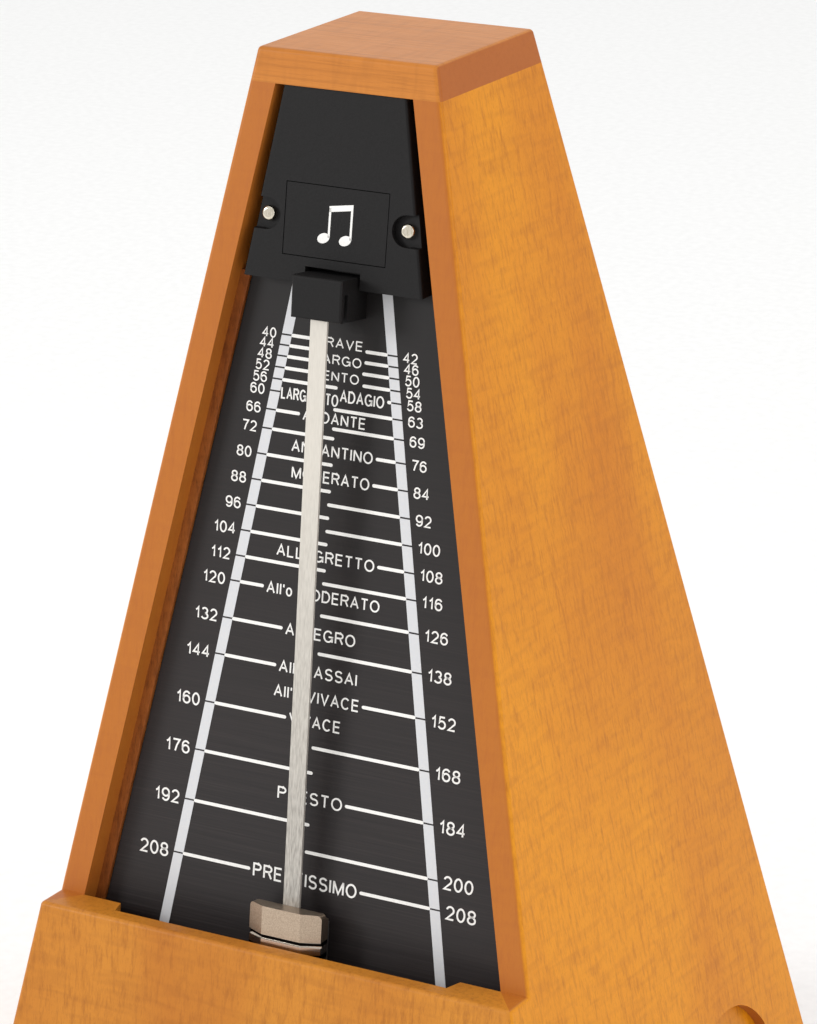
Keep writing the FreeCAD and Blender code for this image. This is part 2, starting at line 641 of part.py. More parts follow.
def frame_pieces():
    key, second, escape = movement_centres()
    span = PLATE_X + PLATE_SHEET
    left, right = plate(-1), plate(1)
    arbor = ARBOR_RADIUS * 0.7 + PIVOT_FIT
    for centre, radius in ((key, BARREL_ARBOR_RADIUS + PIVOT_FIT), (second, arbor), (escape, arbor)):
        hole = rod_x(radius, -span - 1, span + 1, *centre)
        right = right.cut(hole)
        if centre is not escape:
            left = left.cut(hole)
    save("left_movement_plate", left)
    save("right_movement_plate", right.cut(rod_x(CLICK_PIN_RADIUS, 0, 40, *click_nose()[2])))
    pillars, nuts = [], []
    for y, z in pillar_places():
        body = rod_x(PILLAR_RADIUS, -PLATE_X, PLATE_X, y, z)
        stud = rod_x(STUD_RADIUS, -span - STUD_REACH, span + STUD_REACH, y, z)
        pillars.append(joined(body, stud))
        for x in (-span - NUT_THICKNESS, span):
            nuts.append(tube_x(NUT_RADIUS, STUD_RADIUS, x, x + NUT_THICKNESS, y, z))
    save("frame_pillars", group(pillars))
    save("pillar_nuts", group(nuts))
    screws = []
    for x, y in flange_screws():
        top = BOARD_TOP + PLATE_SHEET
        head = rod_z(FLANGE_SCREW_HEAD_RADIUS, top, top + FLANGE_SCREW_HEAD_HEIGHT, x, y)
        slot_z = top + FLANGE_SCREW_HEAD_HEIGHT / 2
        head = head.cut(box(x - 3, x + 3, y - SLOT_HALF_WIDTH, y + SLOT_HALF_WIDTH, slot_z, top + 2))
        screws.append(joined(head, rod_z(FLANGE_SCREW_RADIUS, BOARD_TOP, top, x, y)))
    save("movement_screws", group(screws))
    verge_hole = tilted(Part.makeCylinder(VERGE_RADIUS + PIVOT_FIT, 90, Vector(0, -10, 0), Y))
    front = box(-span, span, PLATE_FRONT - BRIDGE_SHEET, PLATE_FRONT,
                PIVOT_HEIGHT - BRIDGE_BELOW, PIVOT_HEIGHT + BRIDGE_ABOVE)
    save("front_bearing_bridge", front.cut(verge_hole))
    rear_y = ESCAPE_Y + ESCAPE_RADIUS + COCK_GAP
    rear_z = verge_point(rear_y).z
    rear = box(-PLATE_X, COCK_END, rear_y, rear_y + BRIDGE_SHEET,
               rear_z - COCK_HALF_HEIGHT, rear_z + COCK_HALF_HEIGHT)
    save("rear_bearing_cock", rear.cut(verge_hole))
    y, z = escape
    cock_x = ESCAPE_COCK_X + ESCAPE_COCK_SHEET
    cock = box(ESCAPE_COCK_X, cock_x, y - ESCAPE_COCK_FRONT, y + ESCAPE_COCK_BACK,
               z - ESCAPE_COCK_HALF_HEIGHT, z + ESCAPE_COCK_HALF_HEIGHT)
    cock = cock.cut(rod_x(ARBOR_RADIUS + PIVOT_FIT, ESCAPE_COCK_X - 1, cock_x + 1, y, z))
    rise = ESCAPE_COCK_HALF_HEIGHT - ESCAPE_POST_INSET
    for post_z in (z - rise, z + rise):
        post_y = y - ESCAPE_COCK_FRONT + ESCAPE_POST_INSET
        cock = cock.fuse(rod_x(ESCAPE_POST_RADIUS, cock_x, PLATE_X, post_y, post_z))
    save("escape_cock", cock.removeSplitter())


# ---- gears ------------------------------------------------------------------------
def gear(teeth, sheet, x, centre, phase):
    """Spur gear about X with slim straight-sided teeth; phase turns the first tooth."""
    pitch = MODULE * teeth / 2
    tip, root = pitch + MODULE * ADDENDUM, pitch - MODULE * DEDENDUM
    step = 2 * math.pi / teeth
    width = step * TOOTH_SHARE
    flank = [(root, -0.62), (pitch, -0.5), (tip, -0.24), (tip, 0.24), (pitch, 0.5), (root, 0.62)]
    points = []
    for i in range(teeth):
        for radius, share in flank:
            angle = phase + i * step + share * width
            points.append(Vector(x, centre[0] + radius * math.cos(angle),
                                 centre[1] + radius * math.sin(angle)))
    return polygon(points).extrude(X * sheet)


def mesh_phase(teeth, centre, other, other_teeth, other_phase):
    """Phase that puts a tooth space of this gear on the other gear's tooth."""
    toward = math.atan2(other[1] - centre[1], other[0] - centre[0])
    opposite = toward + math.pi
    step = 2 * math.pi / other_teeth
    lead = ((opposite - other_phase) / step) % 1.0
    own = 2 * math.pi / teeth
    return toward + lead * own + own / 2


def train_pieces():
    key, second, escape = movement_centres()
    reach = PLATE_X + PLATE_SHEET
    great = gear(GREAT_TEETH, GEAR_SHEET, GREAT_X, key, 0.0)
    great = great.cut(rod_x(BARREL_ARBOR_RADIUS + PIVOT_FIT, 0, 20, *key))
    save("great_wheel", great)
    phase = mesh_phase(SECOND_PINION_TEETH, second, key, GREAT_TEETH, 0.0)
    pinion_x = GREAT_X + GEAR_SHEET / 2 - PINION_LENGTH / 2
    pinion = gear(SECOND_PINION_TEETH, PINION_LENGTH, pinion_x, second, phase)
    save("second_arbor", arbor(second, -reach, reach, -PLATE_X + 0.3, PLATE_X - 0.3, pinion))
    wheel = gear(SECOND_TEETH, GEAR_SHEET, SECOND_X, second, phase)
    save("second_wheel", wheel.cut(rod_x(ARBOR_RADIUS, 0, 20, *second)))
    phase = mesh_phase(ESCAPE_PINION_TEETH, escape, second, SECOND_TEETH, phase)
    pinion = gear(ESCAPE_PINION_TEETH, PINION_LENGTH, ESCAPE_PINION_X, escape, phase)
    front = ESCAPE_FACE_X + ESCAPE_TOOTH
    save("escape_arbor", arbor(escape, front, reach, front, PLATE_X - 0.3, pinion))
    save("escape_wheel", crown_wheel(escape, front))


def arbor(centre, x0, x1, shoulder0, shoulder1, pinion):
    """Arbor with thinner pivots outside its two shoulders, carrying a pinion."""
    body = rod_x(ARBOR_RADIUS, shoulder0, shoulder1, *centre)
    pivots = rod_x(ARBOR_RADIUS * 0.7, x0, x1, *centre)
    return joined(body, pivots, pinion)


def crown_wheel(centre, back_x):
    rim = tube_x(ESCAPE_RADIUS, ESCAPE_RADIUS - ESCAPE_RIM, ESCAPE_FACE_X, back_x + 1, *centre)
    web = tube_x(ESCAPE_RADIUS, ARBOR_RADIUS, back_x, back_x + 1, *centre)
    wheel = rim.fuse(web)
    step = 360.0 / ESCAPE_TEETH
    for i in range(ESCAPE_TEETH):
        notch = [(ESCAPE_FACE_X - 1, 0.8), (ESCAPE_FACE_X - 1, step * 0.98), (back_x - 0.3, step * 0.98),
                 (back_x - 0.3, step * 0.8), (ESCAPE_FACE_X, 0.8)]
        cut = notch_prism(centre, notch, i * step)
        wheel = wheel.cut(cut)
    return wheel.removeSplitter()


def notch_prism(centre, notch, turn):
    """Radial wedge through the rim, drawn as x against degrees round it."""
    inner, outer = ESCAPE_RADIUS - ESCAPE_RIM - 1, ESCAPE_RADIUS + 1

    def ring(radius):
        return [Vector(x, centre[0] + radius * math.cos(math.radians(turn + a)),
                       centre[1] + radius * math.sin(math.radians(turn + a))) for x, a in notch]

    return Part.makeLoft([Part.makePolygon(r + [r[0]]) for r in (ring(inner), ring(outer))], True, True)


def key_reach():
    return side_x(KEY_HEIGHT) + KEY_PROUD


def barrel_pieces():
    key = (KEY_Y, KEY_HEIGHT)
    low, high = GREAT_X - BARREL_LENGTH, GREAT_X
    bore = BARREL_ARBOR_RADIUS + PIVOT_FIT
    drum = tube_x(BARREL_RADIUS, BARREL_RADIUS - BARREL_SHELL, low + BARREL_SHELL, high, *key)
    floor = tube_x(BARREL_RADIUS - BARREL_SHELL, bore, high - BARREL_SHELL, high, *key)
    save("spring_barrel", joined(drum, floor))
    save("barrel_cover", tube_x(BARREL_RADIUS, bore, low, low + BARREL_SHELL, *key))
    save("mainspring", mainspring(key, low + BARREL_SHELL + 0.4, high - BARREL_SHELL - 0.4))
    reach = PLATE_X + PLATE_SHEET
    end = key_reach() - KEY_WING_HEIGHT / 2
    shaft = rod_x(BARREL_ARBOR_RADIUS, -reach, end - 2, *key)
    save("barrel_arbor", shaft)
    wheel_x = reach + RATCHET_GAP
    save("ratchet_wheel", ratchet(wheel_x).cut(shaft))
    collar = tube_x(BARREL_ARBOR_RADIUS + 1.4, BARREL_ARBOR_RADIUS, -reach - 2.4, -reach - 0.2, *key)
    save("arbor_collar", collar.cut(shaft).fuse(rod_x(BARREL_ARBOR_RADIUS, -reach - 2.4, -reach, *key)))
    save("winding_key", winding_key(end).cut(shaft))


def mainspring(key, x0, x1):
    """Flat spiral strip from the arbor out to the drum."""
    inner, outer = BARREL_ARBOR_RADIUS + 0.5, BARREL_RADIUS - BARREL_SHELL - 0.35
    steps = SPRING_TURNS * 24
    rows = []
    for offset in (0, SPRING_SHEET):
        row = []
        for i in range(steps + 1):
            angle = 2 * math.pi * SPRING_TURNS * i / steps
            radius = inner + (outer - inner - SPRING_SHEET) * i / steps + offset
            row.append(Vector(x0, key[0] + radius * math.cos(angle), key[1] + radius * math.sin(angle)))
        rows.append(row)
    return polygon(rows[0] + rows[1][::-1]).extrude(X * (x1 - x0))


def ratchet(x0):
    points = []
    step = 2 * math.pi / RATCHET_TEETH
    for i in range(RATCHET_TEETH):
        a = i * step
        for radius, share in ((RATCHET_RADIUS, 0.0), (RATCHET_RADIUS - RATCHET_TOOTH, 0.06)):
            angle = a + share * step
            points.append(Vector(x0, *polar(radius, angle)))
    return polygon(points).extrude(X * RATCHET_SHEET)


def winding_key(end):
    boss = rod_x(KEY_BOSS_RADIUS, end - 8, end + 2, KEY_Y, KEY_HEIGHT)
    half = KEY_WING_SPAN / 2
    x1 = key_reach()
    x0 = x1 - KEY_WING_HEIGHT / 2
    wing = box(x0, x1, KEY_Y - half, KEY_Y + half, KEY_HEIGHT - KEY_WING_SHEET / 2,
               KEY_HEIGHT + KEY_WING_SHEET / 2)
    wing = round_edges(wing, 2.4, lambda c, e: abs(abs(c.y - KEY_Y) - half) < 0.1 and abs(
        e.tangentAt(e.FirstParameter).z) > 0.9)
    return joined(boss, wing)


def click_nose():
    """Angle of the nose just past a steep tooth face, its place and the click's pivot."""
    angle = 2 * math.pi / RATCHET_TEETH * (RATCHET_TEETH // 8) + CLICK_LEAD
    radius = RATCHET_RADIUS - RATCHET_TOOTH + CLICK_GAP
    y, z = polar(radius, angle)
    pivot = (y - CLICK_LENGTH * math.sin(angle), z + CLICK_LENGTH * math.cos(angle))
    return angle, (y, z), pivot


def polar(radius, angle):
    """Point beside the winding arbor."""
    return KEY_Y + radius * math.cos(angle), KEY_HEIGHT + radius * math.sin(angle)


def click_pieces():
    """Sprung click above the ratchet wheel; its beak rests in a tooth space."""
    x0 = PLATE_X + PLATE_SHEET + RATCHET_GAP
    top = x0 + RATCHET_SHEET
    angle, nose, (py, pz) = click_nose()
    rim = RATCHET_RADIUS + RATCHET_RIM_GAP
    beak = [nose, polar(rim + 0.4, angle + 0.12), polar(rim + 0.4, angle)]
    along, out = (-math.sin(angle), math.cos(angle)), (math.cos(angle), math.sin(angle))

    def arm_point(u, v):
        return nose[0] + u * along[0] + v * out[0], nose[1] + u * along[1] + v * out[1]

    arm = [arm_point(0, 1.2), arm_point(CLICK_LENGTH, -CLICK_EYE_RADIUS * 0.6),
           arm_point(CLICK_LENGTH, CLICK_EYE_RADIUS), arm_point(0, 3.2)]
    solids = [polygon([Vector(x0, y, z) for y, z in ring]).extrude(X * RATCHET_SHEET)
              for ring in (arm, beak)]
    wheel = rod_x(rim, x0 - 1, top + 1, KEY_Y, KEY_HEIGHT)
    eye = rod_x(CLICK_EYE_RADIUS, x0, top, py, pz)
    hole = rod_x(CLICK_PIN_RADIUS + PIVOT_FIT, x0 - 1, top + 1, py, pz)
    save("click", joined(solids[0].cut(wheel), solids[1], eye).cut(hole))
    coil_end = top + 1.2
    coil = tube_x(CLICK_PIN_RADIUS + 0.75, CLICK_PIN_RADIUS + 0.15, top + 0.1, coil_end, py, pz)
    save("click_spring", coil)
    pin = rod_x(CLICK_PIN_RADIUS, PLATE_X, coil_end + 0.1, py, pz)
    head = rod_x(CLICK_EYE_RADIUS, coil_end + 0.1, coil_end + 1.2, py, pz)
    head = head.cut(box(coil_end + 0.7, coil_end + 2, py - 3, py + 3,
                        pz - SLOT_HALF_WIDTH, pz + SLOT_HALF_WIDTH))
    save("click_screw", joined(pin, head))


def verge_pieces():
    """Verge with its two pallets, in the pendulum's frame."""
    back = (ESCAPE_Y + ESCAPE_RADIUS + 5 - verge_y(PIVOT_HEIGHT)) / math.cos(ROD_LEAN)
    shaft = Part.makeCylinder(VERGE_RADIUS, back + HOLDER_FRONT, Vector(0, -HOLDER_FRONT, 0), Y)
    save("verge_arbor", tilted(shaft))
    for name, sign, turn in (("front_pallet", -1, 45), ("rear_pallet", 1, -45)):
        y = ESCAPE_Y + sign * (ESCAPE_RADIUS - ESCAPE_RIM / 2)
        along = (y - verge_y(PIVOT_HEIGHT)) / math.cos(ROD_LEAN)
        leaf = box(0, PALLET_REACH, along - 0.9, along + 0.9, -0.35, 0.35)
        leaf.rotate(Vector(0, 0, 0), Y, turn)
        save(name, tilted(leaf.cut(shaft)))


CASE = envelope()
case_pieces()
feet()
dial_pieces()
cover_pieces()
catch()
pendulum_pieces()
bob_pieces()
frame_pieces()
train_pieces()
barrel_pieces()
click_pieces()
verge_pieces()
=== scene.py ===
"""Lacquered wooden metronome: finishes, printed dial, stage, light and camera."""
import json
import math

import bmesh
import bpy
from bpy.props import FloatProperty, FloatVectorProperty, PointerProperty, StringProperty
from bpy.types import Operator, Panel, PropertyGroup
from mathutils import Matrix, Vector


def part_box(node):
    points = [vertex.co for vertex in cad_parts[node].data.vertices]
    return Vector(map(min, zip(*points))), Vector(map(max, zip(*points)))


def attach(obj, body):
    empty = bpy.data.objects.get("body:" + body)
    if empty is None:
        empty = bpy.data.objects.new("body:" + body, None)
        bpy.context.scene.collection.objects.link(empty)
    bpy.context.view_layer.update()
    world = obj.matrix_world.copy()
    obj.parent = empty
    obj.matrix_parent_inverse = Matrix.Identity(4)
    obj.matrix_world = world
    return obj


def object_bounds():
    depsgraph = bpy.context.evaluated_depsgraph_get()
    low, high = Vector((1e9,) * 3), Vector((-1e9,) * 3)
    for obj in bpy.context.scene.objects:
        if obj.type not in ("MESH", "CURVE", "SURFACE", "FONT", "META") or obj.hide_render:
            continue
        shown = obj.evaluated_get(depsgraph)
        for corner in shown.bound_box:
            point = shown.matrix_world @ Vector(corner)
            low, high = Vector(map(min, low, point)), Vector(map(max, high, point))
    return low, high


bl_info = {
    "name": "Wooden metronome",
    "version": (1, 0, 0),
    "blender": (4, 5, 0),
    "location": "3D View > Sidebar > Metronome",
    "description": "Finishes and prints a key-wound wooden metronome",
    "category": "Object",
}

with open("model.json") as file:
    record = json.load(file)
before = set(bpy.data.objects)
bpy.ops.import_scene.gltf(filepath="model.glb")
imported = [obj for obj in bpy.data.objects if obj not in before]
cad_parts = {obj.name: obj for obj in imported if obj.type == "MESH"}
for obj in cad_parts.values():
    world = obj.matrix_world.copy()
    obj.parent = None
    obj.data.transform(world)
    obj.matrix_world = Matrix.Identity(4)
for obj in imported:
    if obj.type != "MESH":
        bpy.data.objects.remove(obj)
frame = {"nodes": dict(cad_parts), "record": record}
CAD_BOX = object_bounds()
MM = 0.001
NONMETAL_IOR = 1.5


# ---- colours and nodes --------------------------------------------------------
def linear(code):
    """sRGB hex code as a linear colour with full alpha."""
    parts = [int(code.lstrip("#")[i:i + 2], 16) / 255 for i in (0, 2, 4)]
    return tuple(c / 12.92 if c <= 0.04045 else ((c + 0.055) / 1.055) ** 2.4 for c in parts) + (1.0,)


def add_node(tree, kind, settings=None, **inputs):
    """Adds a node, sets its properties and fills or links its sockets by name."""
    node = tree.nodes.new(kind)
    for key, value in (settings or {}).items():
        setattr(node, key, value)
    for key, value in inputs.items():
        socket = node.inputs[int(key[1:])] if key[0] == "i" and key[1:].isdigit() \
            else node.inputs[key.replace("_", " ")]
        if isinstance(value, bpy.types.NodeSocket):
            tree.links.new(value, socket)
        else:
            socket.default_value = value
    return node


def new_material(name, roughness, metallic=0.0):
    """Material with one Principled shader; returns it with its tree and shader."""
    material = bpy.data.materials.new(name)
    material.use_nodes = True
    tree = material.node_tree
    shader = tree.nodes["Principled BSDF"]
    shader.inputs["Roughness"].default_value = roughness
    shader.inputs["Metallic"].default_value = metallic
    if metallic == 0.0:
        shader.inputs["IOR"].default_value = NONMETAL_IOR
    return material, tree, shader


def stretched(tree, size_mm):
    """Object coordinates divided by the pattern's real size along each axis."""
    place = add_node(tree, "ShaderNodeTexCoord")
    scale = tuple(1 / (s * MM) for s in size_mm)
    return add_node(tree, "ShaderNodeMapping", Vector=place.outputs["Object"], Scale=scale).outputs[0]


def noise(tree, size_mm, detail=2.0, roughness=0.5, distortion=0.0):
    """Noise whose blotches have the given size in millimetres along X, Y and Z."""
    return add_node(tree, "ShaderNodeTexNoise", Vector=stretched(tree, size_mm), Scale=1.0, Detail=detail,
                    Roughness=roughness, Distortion=distortion).outputs["Fac"]


def ramp(tree, factor, stops):
    """Colour ramp from (position, hex) stops."""
    node = add_node(tree, "ShaderNodeValToRGB", Fac=factor)
    elements = node.color_ramp.elements
    while len(elements) < len(stops):
        elements.new(0.5)
    for element, (position, code) in zip(elements, stops):
        element.position = position
        element.color = linear(code)
    return node.outputs["Color"]


def mixed(tree, factor, first, second):
    """Two colours blended; each is a socket or a hex code."""
    node = add_node(tree, "ShaderNodeMix", {"data_type": "RGBA"}, i0=factor)
    for index, colour in ((6, first), (7, second)):
        if isinstance(colour, str):
            node.inputs[index].default_value = linear(colour)
        else:
            tree.links.new(colour, node.inputs[index])
    return node.outputs[2]


def levels(tree, value, low, high, to_low=0.0, to_high=1.0):
    """Value stretched from one range to another and clamped."""
    return add_node(tree, "ShaderNodeMapRange", Value=value, From_Min=low, From_Max=high,
                    To_Min=to_low, To_Max=to_high).outputs[0]


def bumped(tree, shader, height, distance_mm, strength=1.0):
    """Feeds a bump of real depth to the shader's normal."""
    node = add_node(tree, "ShaderNodeBump", Height=height, Strength=strength, Distance=distance_mm * MM)
    tree.links.new(node.outputs[0], shader.inputs["Normal"])


def along(axis, length, width):
    """Size triple of a pattern with its own length on one axis."""
    sizes = [width] * 3
    sizes["XYZ".index(axis)] = length
    return tuple(sizes)


# ---- finishes -------------------------------------------------------------------
def lacquered_wood(name, grain, light, middle, dark, edge=None, outward=1, pores=0.5, end=None):
    """Straight-grained alder under satin lacquer: soft streaks, short dark pores and a faint ripple.

    Where edge is given, only the broad face that looks outward along X keeps the golden tone; all
    other faces are tinted redder and darker: the sawn edges because they took up more of the stain,
    the inside faces as painted shade. Where end is given, the end grain that looks along X is darker
    because it took up more of the stain.
    """
    material, tree, shader = new_material(name, roughness=0.36)
    broad = noise(tree, along(grain, 160, 30), detail=3.0)
    colour = ramp(tree, broad, [(0.30, middle), (0.62, light)])
    streaks = noise(tree, along(grain, 90, 0.9), detail=5.0, roughness=0.7)
    colour = mixed(tree, levels(tree, streaks, 0.48, 0.72, 0.0, 0.55), colour, dark)
    fine = noise(tree, along(grain, 7, 0.22), detail=3.0, roughness=0.75)
    colour = mixed(tree, levels(tree, fine, 0.52, 0.78, 0.0, pores), colour, dark)
    ripple = noise(tree, along(grain, 1.6, 9), detail=1.0, distortion=0.4)
    colour = mixed(tree, levels(tree, ripple, 0.45, 0.75, 0.0, 0.22), colour, dark)
    facing = add_node(tree, "ShaderNodeSeparateXYZ",
                      Vector=add_node(tree, "ShaderNodeNewGeometry").outputs["Normal"])
    if end:
        across = add_node(tree, "ShaderNodeMath", {"operation": "ABSOLUTE"}, i0=facing.outputs["X"])
        darker = mixed(tree, 0.75, colour, end)
        colour = mixed(tree, levels(tree, across.outputs[0], 0.6, 0.8), colour, darker)
    # Sawn edges are redder from the stain; the inside faces get the same tint as painted shade.
    if edge:
        out = add_node(tree, "ShaderNodeMath", {"operation": "MULTIPLY"}, i0=facing.outputs["X"],
                       i1=outward)
        stained_and_shaded = mixed(tree, 0.80, colour, edge)
        colour = mixed(tree, levels(tree, out.outputs[0], 0.35, 0.75), stained_and_shaded, colour)
    tree.links.new(colour, shader.inputs["Base Color"])
    tree.links.new(levels(tree, fine, 0.3, 0.8, 0.32, 0.46), shader.inputs["Roughness"])
    shader.inputs["Coat Weight"].default_value = 0.08
    shader.inputs["Coat Roughness"].default_value = 0.25
    shader.inputs["Specular IOR Level"].default_value = 0.18
    bumped(tree, shader, fine, 0.02, 0.5)
    return material


def brushed_anodised_sheet():
    """Dark anodised aluminium brushed across: faint hairlines under a dull, nearly black film."""
    material, tree, shader = new_material("Brushed black anodised aluminium", 0.46)
    hair = noise(tree, along("X", 30, 0.25), detail=3.0, roughness=0.7)
    cloud = noise(tree, (70, 70, 60), detail=1.0)
    colour = ramp(tree, hair, [(0.30, "#1E1A1A"), (0.52, "#262121"), (0.78, "#332D2C")])
    colour = mixed(tree, levels(tree, cloud, 0.35, 0.7, 0.0, 0.35), colour, "#2F2726")
    # Painted shade: the plate is darkened towards near black going up to its top.
    low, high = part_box("dial_plate")
    margin = 0.03
    height = add_node(tree, "ShaderNodeSeparateXYZ",
                      Vector=add_node(tree, "ShaderNodeTexCoord").outputs["Object"]).outputs["Z"]
    colour = mixed(tree, levels(tree, height, low.z + margin, high.z - margin, 0.0, 0.85), colour,
                   "#0E0B0A")
    tree.links.new(colour, shader.inputs["Base Color"])
    tree.links.new(levels(tree, hair, 0.3, 0.7, 0.40, 0.52), shader.inputs["Roughness"])
    shader.inputs["Specular IOR Level"].default_value = 0.3
    bumped(tree, shader, hair, 0.008, 0.4)
    return material


def spark_eroded_abs(name, code, roughness):
    """Black ABS from a spark-eroded mould: even fine grit, no gloss."""
    material, tree, shader = new_material(name, roughness)
    grit = noise(tree, (0.32, 0.32, 0.32), detail=3.0, roughness=0.7)
    broad = noise(tree, (30, 30, 30), detail=1.0)
    colour = mixed(tree, levels(tree, broad, 0.3, 0.7, 0.0, 0.5), code, "#0F0E0E")
    shader.inputs["Specular IOR Level"].default_value = 0.2
    tree.links.new(colour, shader.inputs["Base Color"])
    tree.links.new(levels(tree, grit, 0.3, 0.7, roughness - 0.07, roughness + 0.08),
                   shader.inputs["Roughness"])
    bumped(tree, shader, grit, 0.035, 0.6)
    return material


def screen_ink(name, code):
    """Screen-printed white ink: flat, slightly uneven cover."""
    material, tree, shader = new_material(name, 0.55)
    cover = noise(tree, (0.5, 0.5, 0.5), detail=3.0)
    tree.links.new(mixed(tree, levels(tree, cover, 0.35, 0.7, 0.0, 0.35), code, "#D9D6D2"),
                   shader.inputs["Base Color"])
    return material


def drawn_metal(name, light, dark, roughness, grain="Z"):
    """Metal with fine working lines on one axis and a little tarnish between them."""
    material, tree, shader = new_material(name, roughness, metallic=1.0)
    lines = noise(tree, along(grain, 18, 0.18), detail=3.0, roughness=0.7)
    cloud = noise(tree, (6, 6, 6), detail=2.0)
    colour = mixed(tree, levels(tree, lines, 0.3, 0.7), light, dark)
    colour = mixed(tree, levels(tree, cloud, 0.45, 0.8, 0.0, 0.35), colour, dark)
    tree.links.new(colour, shader.inputs["Base Color"])
    tree.links.new(levels(tree, lines, 0.3, 0.7, roughness * 0.85, roughness * 1.2),
                   shader.inputs["Roughness"])
    bumped(tree, shader, lines, 0.01, 0.4)
    return material


def blasted_nickel(name, light, dark, roughness):
    """Zinc casting, nickel plated: blasted above, with polished bands between grooves painted near black.
    """
    material, tree, shader = new_material(name, roughness, metallic=1.0)
    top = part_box("bob_body")[1].z
    blasted_to, bands_from, first_groove, half_pitch = 5.1 * MM, 5.3 * MM, 5.5 * MM, 1.2 * MM
    groove_half, groove_edge = 0.40 * MM, 0.47 * MM
    grit = noise(tree, (0.22, 0.22, 0.22), detail=4.0, roughness=0.75)
    height = add_node(tree, "ShaderNodeSeparateXYZ",
                      Vector=add_node(tree, "ShaderNodeTexCoord").outputs["Object"]).outputs["Z"]
    ribbed = levels(tree, height, top - bands_from, top - blasted_to, 1.0, 0.0)
    wave = add_node(tree, "ShaderNodeMath", {"operation": "PINGPONG"}, i1=half_pitch,
                    i0=add_node(tree, "ShaderNodeMath", {"operation": "SUBTRACT"}, i0=height,
                                i1=top - first_groove).outputs[0]).outputs[0]
    groove = add_node(tree, "ShaderNodeMath", {"operation": "MULTIPLY"}, i0=ribbed,
                      i1=levels(tree, wave, groove_half, groove_edge, 1.0, 0.0)).outputs[0]
    colour = mixed(tree, levels(tree, grit, 0.3, 0.7), dark, light)
    colour = mixed(tree, ribbed, colour, "#D8D0C6")
    # The grooves are painted near black.
    tree.links.new(mixed(tree, groove, colour, "#0C0A09"), shader.inputs["Base Color"])
    blasted = levels(tree, grit, 0.3, 0.7, roughness - 0.06, roughness + 0.08)
    tree.links.new(add_node(tree, "ShaderNodeMix", i0=ribbed, i2=blasted, i3=0.2).outputs[0],
                   shader.inputs["Roughness"])
    bumped(tree, shader, grit, 0.015, 0.5)
    return material


def lacquered_strip():
    """Spring steel strip in cream lacquer, turning a darker grey towards its foot."""
    material, tree, shader = new_material("Cream lacquered spring steel", 0.36, metallic=0.25)
    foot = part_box("pendulum_rod")[0].z
    grey_to, cream_from = foot + 0.018, foot + 0.105
    place = add_node(tree, "ShaderNodeTexCoord")
    height = add_node(tree, "ShaderNodeSeparateXYZ", Vector=place.outputs["Object"]).outputs["Z"]
    # Towards the foot the cream gives way to a darker grey.
    towards_foot = levels(tree, height, grey_to, cream_from, 1.0, 0.0)
    lines = noise(tree, along("Z", 30, 0.25), detail=3.0)
    cream = mixed(tree, levels(tree, lines, 0.35, 0.7, 0.0, 0.4), "#D2CCC2", "#C2BCB2")
    grey_foot = mixed(tree, levels(tree, lines, 0.35, 0.7), "#B5B0A8", "#7F7A74")
    tree.links.new(mixed(tree, towards_foot, cream, grey_foot), shader.inputs["Base Color"])
    bumped(tree, shader, lines, 0.006, 0.4)
    return material


def moulded_rubber():
    """Black nitrile rubber foot: dull with a dusty bloom."""
    material, tree, shader = new_material("Moulded black rubber", 0.8)
    bloom = noise(tree, (2.5, 2.5, 2.5), detail=4.0)
    tree.links.new(ramp(tree, bloom, [(0.35, "#141414"), (0.7, "#262524")]), shader.inputs["Base Color"])
    bumped(tree, shader, bloom, 0.03, 0.4)
    return material


FINISHES = {}


def make_finishes(colours):
    """Every finish by the record's slot name, plus the left side's and the two inks."""
    golden = (colours.side_light, colours.side_middle, colours.side_dark)
    FINISHES.update(
        side_wood=lacquered_wood("Lacquered alder, long grain", "Z", *golden, edge="#A9602A"),
        left_wood=lacquered_wood("Lacquered alder, long grain, left", "Z", *golden, edge="#A9602A",
                                 outward=-1),
        cap_wood=lacquered_wood("Lacquered alder, cross grain", "X", "#CC8236", "#BC722A", "#995A1E",
                                pores=0.6, end="#9C4E12"),
        front_wood=lacquered_wood("Lacquered alder, fine upright grain", "Z", "#C8822C", "#B87024",
                                  "#8E501A", pores=0.45),
        inner_wood=lacquered_wood("Bare stained alder", "Z", "#9C5A28", "#7A3F18", "#4E2410", pores=0.8),
        dial_black=brushed_anodised_sheet(),
        cover_black=spark_eroded_abs("Moulded black ABS", "#141212", 0.55),
        rubber=moulded_rubber(),
        zinc_steel=drawn_metal("Zinc plated steel", "#C4C4C0", "#8C8C8A", 0.38),
        nickel=drawn_metal("Polished nickel plate", "#E6DFD0", "#BDB39F", 0.16),
        brass=drawn_metal("Turned brass", "#D9B56A", "#A9833F", 0.3, grain="X"),
        rod_lacquer=lacquered_strip(),
        bob_nickel=blasted_nickel("Blasted champagne nickel", "#C6B29D", "#988674", 0.36),
        spring_steel=drawn_metal("Blued spring steel", "#4E5668", "#2B3040", 0.3),
        ink=screen_ink("Screen-printed white ink", colours.ink),
        grey_ink=screen_ink("Screen-printed pale grey ink", "#CDCED1"),
    )


# ---- the dial's plane and its scale ----------------------------------------------
class Dial:
    """Front face of the dial plate, found from its box."""
    thickness = 1.0 * MM

    def __init__(self):
        self.low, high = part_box("dial_plate")
        self.slope = (high.y - self.thickness - self.low.y) / (high.z - self.low.z)
        self.lean = math.cos(math.atan(self.slope))

    def point(self, u, v, z0, lift):
        """u across and v up the dial from the height z0, lifted off its face."""
        z = z0 + v * self.lean
        return Vector((u, self.low.y + self.slope * (z - self.low.z) - lift / self.lean, z))


DIAL = Dial()
TOP = CAD_BOX[1][2]

LEFT_MARKS = (40, 44, 48, 52, 56, 60, 66, 72, 80, 88, 96, 104, 112, 120, 132, 144, 160, 176, 192, 208)
RIGHT_MARKS = (42, 46, 50, 54, 58, 63, 69, 76, 84, 92, 100, 108, 116, 126, 138, 152, 168, 184, 200, 208)
